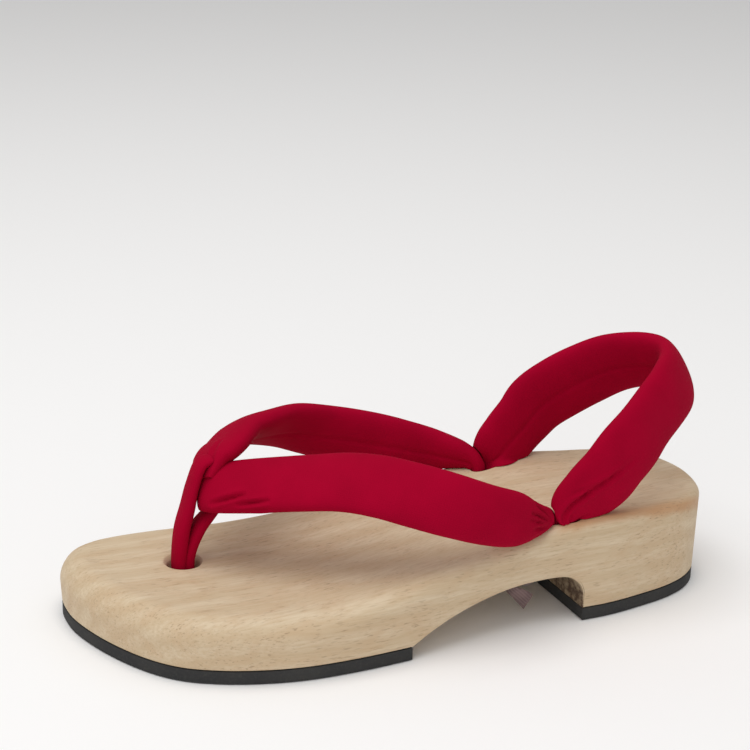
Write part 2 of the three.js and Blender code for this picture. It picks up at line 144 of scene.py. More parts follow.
# y back from the toe tip, outer edge and inner edge from the heel's centre line
OUTLINE = np.array([
    (0.0, -31.0, -31.0), (1.2, -19.5, -41.5), (6.2, -3.5, -50.2), (14.4, 13.0, -54.8),
    (24.0, 24.9, -56.4), (36.0, 32.6, -56.4), (50.0, 38.0, -55.2), (66.0, 41.4, -53.2),
    (85.0, 42.2, -50.0), (105.0, 41.2, -46.2), (126.0, 39.2, -42.2), (148.0, 37.2, -38.6),
    (170.0, 36.2, -36.6), (188.0, 36.2, -36.2), (204.0, 34.0, -34.0), (217.5, 31.0, -31.0),
    (229.0, 25.6, -25.6), (237.4, 16.4, -16.4), (LENGTH, 0.0, 0.0),
])
# y, height of the top along the edge, radius of that edge, depth of the dished middle
FOOTBED = np.array([
    (0, 22.6, 9.0, 0.3), (40, 22.6, 8.5, 1.2), (66, 22.9, 8.0, 1.5), (86, 24.8, 7.0, 1.5),
    (108, 28.2, 6.0, 1.4), (132, 32.8, 5.2, 1.3), (158, 37.8, 4.4, 1.4), (178, 40.0, 3.8, 1.8),
    (205, 39.0, 3.6, 2.0), (LENGTH, 38.6, 3.6, 0.6),
])
# y and height of the underside between the pads
ARCH = np.array([
    (ARCH_FRONT, WOOD_BASE), (112.5, 8.8), (121.0, 12.6), (132.0, 16.1), (145.0, 18.7),
    (158.0, 19.5), (168.5, 18.9), (173.4, 16.6), (176.0, 12.9), (BREAST, 8.0),
])


def through(rows, place):
    """A smooth curve through the rows of a table. Between two rows each column follows the cubic
    whose slope at a row is half the difference between the rows before and after it."""
    last = len(rows) - 1
    step = np.clip(place, 0, last - 1e-9).astype(int)
    part = (place - step)[..., None]
    before, start, end, after = (rows[np.clip(step + k, 0, last)] for k in (-1, 0, 1, 2))
    leave, arrive, rise = (end - before) / 2, (after - start) / 2, end - start
    return start + part * (
        leave + part * (3 * rise - 2 * leave - arrive + part * (leave + arrive - 2 * rise))
    )


def through_at(rows, y):
    """The same curve, at distances y along the table's first column."""
    return through(rows, np.interp(y, rows[:, 0], np.arange(len(rows))))


def unit(vectors):
    """Vectors divided by their lengths."""
    return vectors / np.linalg.norm(vectors, axis=-1, keepdims=True)


# The outline as one closed smooth curve, sampled finely from the toe tip down the outer side and
# back up the inner side, with the direction that points out of the sole at each sample.
SAMPLES = 40  # between two rows
sides_of_ring = np.vstack([OUTLINE[:, [1, 0]], OUTLINE[-2:0:-1, [2, 0]]])
turns = len(sides_of_ring)
edge_line = through(
    np.vstack([sides_of_ring[-1:], sides_of_ring, sides_of_ring[:2]]),
    1 + np.arange(turns * SAMPLES) / SAMPLES,
)
edge_way = unit(np.roll(edge_line, -1, axis=0) - np.roll(edge_line, 1, axis=0))
edge_out = np.stack([edge_way[:, 1], -edge_way[:, 0]], axis=1)
edge_line, edge_out = (np.vstack([a, a[:1]]) for a in (edge_line, edge_out))
half = turns * SAMPLES // 2
outer_line, inner_line = edge_line[: half + 1], edge_line[: half - 1 : -1]
middle_y = (outer_line[:, 1] + inner_line[:, 1]) / 2
middle_x = (outer_line[:, 0] + inner_line[:, 0]) / 2
half_wide = (outer_line[:, 0] - inner_line[:, 0]) / 2
run_of = np.concatenate(
    [[0.0], np.cumsum(sum(np.linalg.norm(np.diff(s, axis=0), axis=1) for s in (outer_line, inner_line)) / 2)]
)  # distance run along the edge from the toe tip, the mean of the two sides


def edge_ring(run, inset, height):
    """Points of both sides of the sole at distances run along the edge: the outline's own point
    moved in by inset against its outward direction, at the given height."""
    place = np.interp(run, run_of, np.arange(half + 1.0))
    both = np.stack([place, 2 * half - place])
    every = np.arange(2 * half + 1.0)
    ring = np.stack(
        [
            np.interp(both, every, edge_line[:, k]) - inset * np.interp(both, every, edge_out[:, k])
            for k in (0, 1)
        ],
        axis=-1,
    )
    return np.concatenate([ring, np.broadcast_to(height, both.shape)[..., None]], axis=-1)


def toward_middle(ring, share):
    """Ring points drawn in toward the sole's middle line: the line's own point at the mean of the
    two sides' distances from the toe, plus share of the way out, so that both sides meet in one
    point when share is 0. At both tips the line stops short of the edge."""
    y = np.broadcast_to(ring[..., 1].mean(axis=0), ring.shape[:2])
    stop = np.where(y < 30.0, 15.0 + y / 2, np.where(y > 205.0, 205.0 + (y - 205.0) / 2, y))
    middle = np.stack([np.interp(stop, middle_y, middle_x), stop, ring[..., 2]], axis=-1)
    return middle + share * (ring - middle)


def footbed_at(points):
    """Footbed values (height along the edge, radius, depth of the dish) at points' y."""
    return np.moveaxis(through_at(FOOTBED, np.clip(points[..., 1], 0, LENGTH)), -1, 0)[1:]


def steps_between(start, stop, count):
    """count evenly spaced values from start up to but without stop."""
    return start + (stop - start) * np.arange(count) / count


# Columns of the skin run up the wall. Their feet follow the underside: flat, arch, breast, flat.
run_at_y = lambda y: np.interp(y, middle_y, run_of)
arch_curve = through(ARCH, steps_between(0.0, len(ARCH) - 1.0, 56))
feet = np.vstack(
    [
        np.stack([steps_between(0.0, run_at_y(ARCH_FRONT), 96), np.full(96, WOOD_BASE)], axis=1),
        np.stack([run_at_y(arch_curve[:, 0]), arch_curve[:, 1]], axis=1),
        np.stack([np.full(5, run_at_y(BREAST)), steps_between(8.0, WOOD_BASE, 5)], axis=1),
        np.stack([steps_between(run_at_y(BREAST), run_of[-1], 70), np.full(70, WOOD_BASE)], axis=1),
        [(run_of[-1], WOOD_BASE)],
    ]
)
way = unit(np.diff(feet, axis=0))
way = unit(np.vstack([way[:1], way[:-1] + way[1:], way[-1:]]))
up_from_foot = np.stack([-way[:, 1], way[:, 0]], axis=1)
heads = feet[:, 0].copy()
for _ in range(260):  # heads are spread evenly, so that the wall's columns lean smoothly
    heads[1:-1] = (heads[:-2] + 2 * heads[1:-1] + heads[2:]) / 4

rings = []
rim = edge_ring(feet[:, 0], UNDERCUT + 2 * ARRIS, feet[:, 1])
for share in (0.0, 0.18, 0.36, 0.54, 0.72, 0.86, 0.95, 1.0):
    rings.append(toward_middle(rim, share))
for turn in np.radians([0.0, 30.0, 60.0, 90.0]):
    lift = ARRIS * (1 - math.cos(turn))
    foot = feet + lift * up_from_foot
    rings.append(edge_ring(foot[:, 0], UNDERCUT + ARRIS * (1 - math.sin(turn)), foot[:, 1]))
foot = feet + ARRIS * up_from_foot
edge = edge_ring(heads, 0.0, 0.0)
radius = footbed_at(edge)[1]
for part in (0.04, 0.1, 0.2, 0.32, 0.44, 0.56, 0.68, 0.8, 0.9, 0.96):
    run = foot[:, 0] + part * (heads - foot[:, 0])
    place = edge_ring(run, 0.0, 0.0)
    brim = (footbed_at(place)[0] - footbed_at(place)[1]).mean(0)
    height = foot[:, 1] + part * (brim - foot[:, 1])
    lean = UNDERCUT * (brim - height) / (brim - WOOD_BASE)
    rings.append(edge_ring(run, lean, height))
for turn in np.radians(np.linspace(0.0, 90.0, 11)):
    inset = radius.mean(0) * (1 - math.cos(turn))
    ring = edge_ring(heads, inset, 0.0)
    ring[..., 2] = footbed_at(ring)[0] - radius * (1 - math.sin(turn))
    rings.append(ring)
rim = rings[-1]
for share in (0.965, 0.91, 0.82, 0.7, 0.56, 0.42, 0.28, 0.14, 0.0):
    ring = toward_middle(rim, share)
    height, _, dish = footbed_at(ring)
    ring[..., 2] = height - dish * (1 - share**2) ** 1.5
    rings.append(ring)


def millimetres(points):
    """Points in the sandal's own millimetres, moved to the frame's origin and put in metres."""
    return (np.asarray(points) - ORIGIN) / 1000.0


def grid_faces(rows, columns, wrap):
    """Corner numbers of a grid's four-sided faces, row by row; wrap joins the last column to the
    first."""
    i, j = np.meshgrid(np.arange(rows - 1), np.arange(columns if wrap else columns - 1), indexing="ij")
    k = (j + 1) % columns
    corners = np.stack([i * columns + j, i * columns + k, (i + 1) * columns + k, (i + 1) * columns + j], -1)
    return corners.reshape(-1, 4)


def closed_piece(name, points, faces, maps=None, sharp=40.0):
    """An object from points in the sandal's millimetres and faces. Faces that enclose a negative
    volume are all turned round, doubles are merged, and edges sharper than sharp degrees stay so."""
    points = np.asarray(points, float).reshape(-1, 3)
    faces = [list(f) for f in faces]
    fans = np.array([(f[0], f[k], f[k + 1]) for f in faces for k in range(1, len(f) - 1)])
    a, b, c = (points[fans[:, k]] for k in range(3))
    inside_out = np.einsum("ij,ij->", a, np.cross(b, c)) < 0
    if inside_out:
        faces = [f[::-1] for f in faces]
    mesh = bpy.data.meshes.new(name)
    mesh.from_pydata(millimetres(points).tolist(), [], faces)
    if maps is not None:
        if inside_out:
            maps = [m[::-1] for m in maps]
        layer = mesh.uv_layers.new(name="UVMap")
        layer.data.foreach_set("uv", np.concatenate([np.asarray(m, float).ravel() for m in maps]))
    piece = bpy.data.objects.new(name, mesh)
    bpy.context.scene.collection.objects.link(piece)
    merge = piece.modifiers.new("merge", "WELD")
    merge.merge_threshold = 1e-6
    apply_all(piece)
    piece.data.shade_smooth()
    piece.data.set_sharp_from_angle(angle=math.radians(sharp))
    return piece


def apply_all(piece):
    """Puts the result of a piece's modifiers into its mesh and removes them."""
    bpy.context.view_layer.update()
    done = bpy.data.meshes.new_from_object(piece.evaluated_get(bpy.context.evaluated_depsgraph_get()))
    piece.modifiers.clear()
    old, piece.data = piece.data, done
    name = old.name
    bpy.data.meshes.remove(old)
    done.name = name


def join_or_cut(piece, tool, operation, sharp=40.0):
    """Unites a piece with another closed mesh or cuts it by that mesh, which is then removed."""
    change = piece.modifiers.new("tool", "BOOLEAN")
    change.object = tool
    change.operation = operation
    change.solver = "EXACT"
    apply_all(piece)
    bpy.data.objects.remove(tool)
    piece.data.shade_smooth()
    piece.data.set_sharp_from_angle(angle=math.radians(sharp))


def strap_skin(table, steps, sides, grow=0.0):
    """Sections of a strap along the smooth curve through a table's rows (centre, width, thickness,
    direction its broad face looks). A section is a full, slightly squared oval: half the width
    times the cosine to the power of 0.85 across, half the thickness times the sine likewise. It is
    thicker all round and longer at each end by grow.
    Returns the points, the distance along the strap and the distance round from the face's middle."""
    table = np.asarray(table, float)
    last = len(table) - 1.0
    place = np.linspace(0.0, last, steps + 1)
    row = through(table, place)
    ahead, back = (through(table, np.clip(place + d, 0.0, last)) for d in (0.05, -0.05))
    along = unit(ahead[:, :3] - back[:, :3])
    face = row[:, 5:8]
    face = unit(face - along * (face * along).sum(1, keepdims=True))
    broad = np.cross(along, face)
    turn = -math.pi / 2 + 2 * math.pi * np.arange(sides) / sides
    full = lambda v: np.sign(v) * np.abs(v) ** 0.85
    wide = (row[:, 3:4] / 2 + grow) * full(np.cos(turn))
    deep = (row[:, 4:5] / 2 + grow) * full(np.sin(turn))
    centre = row[:, :3].copy()
    centre[[0, -1]] += grow * along[[0, -1]] * [[-1.0], [1.0]]
    points = centre[:, None] + wide[..., None] * broad[:, None] + deep[..., None] * face[:, None]
    far = np.concatenate([[0.0], np.cumsum(np.linalg.norm(np.diff(row[:, :3], axis=0), axis=1))])
    strip = np.linalg.norm(np.roll(points, -1, axis=1) - points, axis=2)
    round_it = np.cumsum(strip, axis=1) - strip
    round_it -= round_it[:, sides // 2, None]
    return points, far, round_it, strip.sum(1)


def strap_piece(name, skin, sharp=50.0):
    """A closed strap from its skin: the grid wrapped round, one flat face on each end, and a map
    that holds the distance along and round the strap in metres."""
    points, far, round_it, girth = skin
    rows, columns = points.shape[:2]
    faces = grid_faces(rows, columns, wrap=True)
    i, j = faces // columns, faces % columns
    along = far[i]
    beyond = (j == 0) & (np.arange(4)[None] % 3 > 0)  # corners past the seam
    beyond &= j[:, :1] == columns - 1
    across = round_it[i, j] + np.where(beyond, girth[i], 0.0)
    maps = list(np.stack([along, across], axis=-1) / 1000.0)
    ends = [np.arange(columns)[::-1], (rows - 1) * columns + np.arange(columns)]
    flat = np.stack([np.zeros(columns), round_it[0]], axis=1) / 1000.0
    return closed_piece(name, points, list(faces) + ends, maps + [flat, flat], sharp)


REAR_SLOT = [(31.3, 172.4, 47.0), (20.0, 157.1, 11.0)]  # middle of the slot, above and below
SLOT_LONG, SLOT_WIDE = 14.2, 8.4
SLOT_FLARE = 0.8  # extra width where the slot leaves the footbed


def rear_slot(side, grow=0.0):
    """The slanted slot beside the heel as a cutter: an even oval, wider where it leaves the top."""
    part = np.linspace(0.0, 1.0, 41)[:, None]
    middle = np.array(REAR_SLOT[0]) + part * np.subtract(REAR_SLOT[1], REAR_SLOT[0])
    flare = SLOT_FLARE * np.clip((0.26 - part) / 0.1, 0.0, 1.0) ** 2
    face = np.broadcast_to([1.0, 0.0, 0.0], middle.shape)
    rows = np.hstack([middle * (side, 1.0, 1.0), SLOT_LONG + flare, SLOT_WIDE + flare, face])
    return strap_skin(rows, 40, 40, grow)


def turned_hole(name, profile):
    """A round hole at the toe loop as a cutter: a circle carried up through (height, radius)."""
    angle = 2 * math.pi * np.arange(64) / 64
    circle = np.stack([np.cos(angle), np.sin(angle)], axis=1)
    rings = [np.column_stack([LOOP_AT + r * circle, np.full(64, z)]) for z, r in profile]
    faces = list(grid_faces(len(rings), 64, wrap=True))
    faces += [np.arange(64)[::-1], (len(rings) - 1) * 64 + np.arange(64)]
    return closed_piece(name, rings, faces)


ring_columns = 2 * (len(feet) - 1)
skin = np.stack([np.concatenate([r[0], r[1, -2:0:-1]]) for r in rings])
sole = closed_piece("sole", skin, grid_faces(len(rings), ring_columns, wrap=True))
for side in (1, -1):
    join_or_cut(sole, strap_piece("slot", rear_slot(side)), "DIFFERENCE")
join_or_cut(
    sole, turned_hole("hole", [(2.0, 6.0), (19.6, 6.0), (20.6, 6.3), (21.6, 7.2), (23.4, 9.4)]), "DIFFERENCE"
)
join_or_cut(
    sole,
    turned_hole("pocket", [(2.0, 12.8), (5.0, 12.6), (5.8, 12.0), (13.0, 12.0), (13.6, 11.4)]),
    "DIFFERENCE",
)

# Rubberwood, planed and sanded to about 240 grit, without varnish: a pale straw ground, growth
# layers 8 mm apart, and the short brown dashes of its open pores along the length.
rubberwood, tree, surface = new_material(
    "rubberwood_sanded", {"IOR": 1.5, "Roughness": 0.58, "Specular IOR Level": 0.38}
)
STRAW, HONEY, PORE, RESIN, TAN = (
    linear(c) for c in ("#d9c6a9", "#c2a884", "#8d7154", "#b7804e", "#c6a783")
)
wave_scale = lambda spacing: 2 * math.pi / 20 / (spacing / 1000.0)  # a wave's scale from mm
spot_scale = lambda spacing: 1000.0 / spacing  # a noise's scale from mm
where = add(tree, "TexCoord").outputs["Object"]
layers = add(
    tree,
    "TexWave",
    {"wave_type": "RINGS", "rings_direction": "Y", "wave_profile": "SIN"},
    {
        "Vector": add(
            tree, "Mapping", (),
            {"Vector": where, "Location": (-0.052, 0.0, 0.034), "Rotation": (0.035, 0.0, 0.06),
             "Scale": (1.0, 0.16, 1.0)},
        ).outputs["Vector"],
        "Scale": wave_scale(8.0), "Distortion": 5.5, "Detail": 3.0, "Detail Scale": 0.55,
    },
)
fibre = add(
    tree, "TexNoise", (),
    {"Vector": add(
        tree, "Mapping", (),
        {"Vector": where, "Rotation": (0.02, 0.0, 0.03), "Scale": (1.0, 0.05, 1.0)},
    ).outputs["Vector"],
     "Scale": spot_scale(1.1), "Detail": 3.0, "Roughness": 0.62},
)
pores = add(
    tree, "TexNoise", (),
    {"Vector": add(
        tree, "Mapping", (),
        {"Vector": where, "Rotation": (-0.03, 0.0, 0.05), "Scale": (1.0, 0.11, 1.0)},
    ).outputs["Vector"],
     "Scale": spot_scale(0.5), "Detail": 2.0},
)
patches = add(
    tree, "TexNoise", (),
    {"Vector": add(tree, "Mapping", (), {"Vector": where, "Scale": (1.0, 0.55, 1.0)}).outputs["Vector"],
     "Scale": spot_scale(17.0), "Detail": 4.0, "Roughness": 0.6, "Distortion": 1.6},
)
pore_spot = add(tree, "MapRange", (), {"Value": pores.outputs["Fac"], "From Min": 0.58, "From Max": 0.68})
pore_rich = add(
    tree, "MapRange", (),
    {"Value": patches.outputs["Fac"], "From Min": 0.36, "From Max": 0.62, "To Min": 0.15,
     "To Max": 1.0},
)
pore_mask = add(
    tree, "Math", {"operation": "MULTIPLY"},
    {0: pore_spot.outputs["Result"], 1: pore_rich.outputs["Result"]},
)


def blend(tree, share, first, second, times=1.0):
    """One colour laid over another by a share that is scaled first."""
    share = add(tree, "Math", {"operation": "MULTIPLY", "use_clamp": True}, {0: share, 1: times})
    return add(tree, "Mix", {"data_type": "RGBA"}, {0: share.outputs[0], 6: first, 7: second}).outputs[2]


fibre_share = add(tree, "MapRange", (), {"Value": fibre.outputs["Fac"], "From Min": 0.34, "From Max": 0.68})
patch_share = add(tree, "MapRange", (), {"Value": patches.outputs["Fac"], "From Min": 0.42, "From Max": 0.7})
paint = blend(tree, layers.outputs["Fac"], STRAW, HONEY, 0.42)
paint = blend(tree, fibre_share.outputs["Result"], paint, HONEY, 0.6)
paint = blend(tree, patch_share.outputs["Result"], paint, TAN, 0.55)

# A thin resin-brown layer crosses the top edge of the heel's outer side.
split = add(tree, "SeparateXYZ", (), {"Vector": where})
tilt = add(
    tree, "Math", {"operation": "MULTIPLY_ADD"},
    {0: split.outputs["X"], 1: -0.55, 2: split.outputs["Z"]},
)
wander = add(
    tree, "Math", {"operation": "MULTIPLY_ADD"},
    {0: patches.outputs["Fac"], 1: 0.004, 2: tilt.outputs[0]},
)
RESIN_HEIGHT = 0.0396 - 0.55 * 0.0410 + 0.002  # of the layer at the heel's outer edge
off_layer = add(tree, "Math", {"operation": "SUBTRACT"}, {0: wander.outputs[0], 1: RESIN_HEIGHT})
off_layer = add(tree, "Math", {"operation": "ABSOLUTE"}, {0: off_layer.outputs[0]})
in_layer = add(
    tree, "MapRange", {"interpolation_type": "SMOOTHSTEP"},
    {"Value": off_layer.outputs[0], "From Min": 0.0004, "From Max": 0.0044, "To Min": 1.0,
     "To Max": 0.0},
)
at_heel = add(
    tree, "MapRange", {"interpolation_type": "SMOOTHSTEP"},
    {"Value": split.outputs["Y"], "From Min": 0.03, "From Max": 0.055},
)
outer_half = add(
    tree, "MapRange", {"interpolation_type": "SMOOTHSTEP"},
    {"Value": split.outputs["X"], "From Min": 0.004, "From Max": 0.034},
)
resin = add(
    tree, "Math", {"operation": "MULTIPLY"},
    {0: in_layer.outputs["Result"], 1: at_heel.outputs["Result"]},
)
resin = add(tree, "Math", {"operation": "MULTIPLY"}, {0: resin.outputs[0], 1: outer_half.outputs["Result"]})
paint = blend(tree, resin.outputs[0], paint, RESIN, 0.62)

# The breast, left as the saw cut it across the grain, is darker as end grain is, and painted shade of the
# hollow under the arch makes its lower part, where it faces the toe, a deep patchy brown.
breast_near = add(
    tree, "Math", {"operation": "SUBTRACT"},
    {0: split.outputs["Y"], 1: (BREAST - ORIGIN[1]) / 1000.0},
)
breast_near = add(tree, "Math", {"operation": "ABSOLUTE"}, {0: breast_near.outputs[0]})
on_breast = add(
    tree, "MapRange", {"interpolation_type": "SMOOTHSTEP"},
    {"Value": breast_near.outputs[0], "From Min": 0.0002, "From Max": 0.0032, "To Min": 1.0,
     "To Max": 0.0},
)
below = add(
    tree, "MapRange", {"interpolation_type": "SMOOTHSTEP"},
    {"Value": split.outputs["Z"], "From Min": 0.0155, "From Max": 0.0195, "To Min": 1.0, "To Max": 0.0},
)
facing = add(tree, "SeparateXYZ", (), {"Vector": add(tree, "NewGeometry").outputs["True Normal"]})
toward_toe = add(tree, "MapRange", (), {"Value": facing.outputs["Y"], "From Min": -0.25, "From Max": -0.7})
breast_shade = add(
    tree, "Math", {"operation": "MULTIPLY"},
    {0: on_breast.outputs["Result"], 1: below.outputs["Result"]},
)
breast_shade = add(tree, "Math", {"operation": "MULTIPLY"}, {0: breast_shade.outputs[0], 1: toward_toe.outputs["Result"]})
breast_shade_noise = add(
    tree, "TexNoise", (),
    {"Vector": where, "Scale": spot_scale(3.5), "Detail": 4.0, "Roughness": 0.65},
)
breast_shade_patches = add(
    tree, "MapRange", (),
    {"Value": breast_shade_noise.outputs["Fac"], "From Min": 0.38, "From Max": 0.56, "To Min": 0.45, "To Max": 1.0},
)
breast_shade = add(tree, "Math", {"operation": "MULTIPLY"}, {0: breast_shade.outputs[0], 1: breast_shade_patches.outputs["Result"]})
# The dark brown laid on here is painted shade over the darker end grain.
paint = blend(tree, breast_shade.outputs[0], paint, linear("#4a3427"), 0.95)
paint = blend(tree, pore_mask.outputs[0], paint, PORE, 0.5)
tree.links.new(paint, surface.inputs["Base Color"])
relief = add(
    tree, "Math", {"operation": "MULTIPLY_ADD"},
    {0: pore_mask.outputs[0], 1: -1.0, 2: fibre.outputs["Fac"]},
)
bump = add(tree, "Bump", (), {"Height": relief.outputs[0], "Strength": 0.35, "Distance": 0.00012})
tree.links.new(bump.outputs["Normal"], surface.inputs["Normal"])
sole.data.materials.clear()
sole.data.materials.append(rubberwood)
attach(sole, "root")
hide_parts("sole_wood")

# ---- Rubber pads ---------------------------------------------------------------------------------
# Two sheets of charcoal soling rubber about 5 mm thick, glued under the forefoot and the heel and
# ground flush with the wood; the front one has a hole that leaves the loop's knot free.

PAD_HIGH = 4.8
PAD_ARRIS = 0.45
FOREFOOT_END = 105.5


def pad(name, runs, front, back):
    """A pad between two places along the edge: both sides' edge points make one closed outline,
    which is cut off at y = front and back, and carried up from the floor with a small round at the
    bottom and at the top."""
    inset_of = lambda inset: edge_ring(runs, UNDERCUT + inset, 0.0)
    rings = []
    for turn in np.radians([0.0, 30.0, 60.0, 90.0]):
        rings.append((PAD_ARRIS * (1 - math.sin(turn)), PAD_ARRIS * (1 - math.cos(turn))))
    rings += [(0.0, PAD_HIGH / 2)]
    rings += [(inset, PAD_HIGH - height) for inset, height in reversed(rings[:4])]
    skin = []
    for inset, height in rings:
        outer, inner = inset_of(inset)
        ring = np.concatenate([outer, inner[::-1]])
        ring[:, 1] = np.clip(ring[:, 1], front + inset, back - inset)
        ring[:, 2] = height
        skin.append(ring)
    count = len(skin[0])
    faces = list(grid_faces(len(skin), count, wrap=True))
    faces += [np.arange(count)[::-1], (len(skin) - 1) * count + np.arange(count)]
    return closed_piece(name, skin, faces, sharp=25.0)


pad_front = pad("pad_front", np.linspace(0.0, run_at_y(FOREFOOT_END), 120), -1.0, FOREFOOT_END)
join_or_cut(pad_front, turned_hole("hole", [(-1.0, 12.7), (0.2, 12.5), (6.0, 12.5)]), "DIFFERENCE", 25.0)
pad_back = pad("pad_back", np.linspace(run_at_y(BREAST), run_of[-1], 90), BREAST, LENGTH + 1.0)

# Soling rubber, moulded in sheets and ground at the edge: near-black, dull, with a fine even grit
# and paler rubbed patches. Its grit of 0.5 mm is drawn 1.2 mm apart so that it shows.
soling_rubber, tree, surface = new_material(
    "soling_rubber", {"IOR": 1.52, "Roughness": 0.82, "Specular IOR Level": 0.35}
)
where = add(tree, "TexCoord").outputs["Object"]
grit = add(tree, "TexNoise", (), {"Vector": where, "Scale": spot_scale(1.2), "Detail": 3.0, "Roughness": 0.7})
rubbed = add(tree, "TexNoise", (), {"Vector": where, "Scale": spot_scale(22.0), "Detail": 3.0})
rubbed_share = add(tree, "MapRange", (), {"Value": rubbed.outputs["Fac"], "From Min": 0.4, "From Max": 0.7})
paint = blend(tree, rubbed_share.outputs["Result"], linear("#2d2d2e"), linear("#3c3b39"), 0.7)
grit_share = add(tree, "MapRange", (), {"Value": grit.outputs["Fac"], "From Min": 0.5, "From Max": 0.75})
paint = blend(tree, grit_share.outputs["Result"], paint, linear("#474643"), 0.45)
tree.links.new(paint, surface.inputs["Base Color"])
bump = add(tree, "Bump", (), {"Height": grit.outputs["Fac"], "Strength": 0.5, "Distance": 0.0002})
tree.links.new(bump.outputs["Normal"], surface.inputs["Normal"])
for piece, node in ((pad_front, "pad_forefoot"), (pad_back, "pad_heel")):
    piece.data.materials.clear()
    piece.data.materials.append(soling_rubber)
    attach(piece, "root")
    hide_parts(node)

# ---- Front strap ---------------------------------------------------------------------------------
# Two padded arms of crimson cotton cloth, sewn as tubes over a soft filling with the seam inside,
# joined at the toe loop and pulled, gathered, through the slots beside the heel.

# centre x, y, z, width, thickness, direction of the outer face
OUTER_ARM = [
    (-23.0, 49.4, 48.4, 15.6, 4.8, 0.3, -0.9, 0.4), (-16.4, 54.4, 50.8, 19.4, 8.2, 0.35, -0.7, 0.65),
    (-8.6, 67.0, 53.0, 22.3, 9.0, 0.4, -0.45, 0.8), (1.5, 79.0, 56.0, 23.5, 9.2, 0.45, -0.3, 0.85),
    (12.5, 90.2, 59.0, 24.0, 9.2, 0.55, -0.2, 0.8), (22.0, 99.8, 59.6, 23.5, 9.2, 0.7, -0.15, 0.7),
    (30.0, 110.0, 57.8, 23.0, 9.2, 0.85, -0.1, 0.5), (36.0, 121.0, 54.8, 22.5, 9.2, 0.95, 0.0, 0.3),
    (38.8, 133.8, 50.2, 21.5, 9.4, 1.0, 0.1, 0.12), (38.0, 145.5, 46.4, 19.5, 9.6, 1.0, 0.2, 0.1),
    (34.2, 154.6, 43.3, 12.8, 9.2, 0.9, 0.4, 0.2), (29.4, 162.8, 40.6, 7.6, 6.6, 0.8, 0.5, 0.3),
    (27.5, 163.8, 35.0, 6.4, 5.8, 0.1, 1.0, 0.3), (23.1, 157.8, 21.0, 6.4, 5.8, 0.0, 1.0, -0.3),
]
INNER_ARM = [
    (-22.6, 50.4, 51.6, 13.4, 4.8, -0.1, -0.9, 0.4), (-26.8, 54.6, 57.4, 20.0, 8.0, 0.0, -0.85, 0.55),
    (-30.8, 61.4, 60.0, 22.8, 8.8, -0.1, -0.65, 0.78), (-38.8, 70.0, 62.0, 22.8, 9.2, -0.4, -0.35, 0.85),
    (-43.4, 79.8, 61.2, 23.5, 9.2, -0.6, -0.2, 0.75), (-47.8, 92.4, 58.6, 23.5, 9.2, -0.8, -0.1, 0.55),
    (-49.2, 107.0, 53.8, 23.0, 9.2, -0.95, 0.0, 0.3), (-47.2, 122.0, 50.0, 22.5, 9.2, -1.0, 0.1, 0.15),
    (-43.2, 136.5, 46.6, 21.0, 9.4, -1.0, 0.15, 0.1), (-38.6, 149.0, 44.4, 17.5, 9.6, -0.95, 0.3, 0.15),
    (-33.0, 158.6, 42.8, 12.0, 8.6, -0.85, 0.45, 0.25), (-29.4, 162.8, 40.6, 7.6, 6.6, -0.8, 0.5, 0.3),
    (-27.5, 163.8, 35.0, 6.4, 5.8, -0.1, 1.0, 0.3), (-23.1, 157.8, 21.0, 6.4, 5.8, 0.0, 1.0, -0.3),
]


def folded(skin, folds, seam=0.5):
    """A strap's skin moved along its own outward direction by its folds. A fold is a soft trough
    along a line from one place on the strap to another (mm along, mm round from the middle of the
    face): depth times a bell curve of the distance from the line, less a third of that for the
    two low ridges beside it. A seam trough runs along the inner face."""
    points, far, round_it, girth = skin
    down = np.gradient(points, axis=0)
    across = np.roll(points, -1, axis=1) - np.roll(points, 1, axis=1)
    out = unit(np.cross(down, across))
    centre = points.mean(1, keepdims=True)
    if (out * (points - centre)).sum() < 0:
        out = -out
    along = np.broadcast_to(far[:, None], round_it.shape)
    rise = np.zeros_like(round_it)
    for a0, c0, a1, c1, wide, depth in folds:
        run, rest = a1 - a0, c1 - c0
        share = ((along - a0) * run + (round_it - c0) * rest) / (run**2 + rest**2)
        held = np.clip(share, 0.0, 1.0)
        away = np.hypot(along - a0 - held * run, round_it - c0 - held * rest)
        fade = np.clip(1.25 - np.abs(held - 0.5) * 1.5, 0.0, 1.0)
        bell = np.exp(-((away / wide) ** 2)) - 0.33 * np.exp(-(((away - 2.1 * wide) / wide) ** 2))
        rise -= depth * fade * bell
    inside = girth[:, None] / 2 - np.abs(round_it)  # distance from the middle of the inner face
    rise -= seam * np.exp(-((inside / 0.8) ** 2))
    rise += 0.05 * np.sin(along / 9.3 + round_it / 11.0) + 0.03 * np.sin(along / 3.9 - round_it / 5.0)
    return points + rise[..., None] * out, far, round_it, girth


DRAWN_TO, DRAWN_FROM = 0.94, 1.7  # of a slot's half width: where points beside it end and start


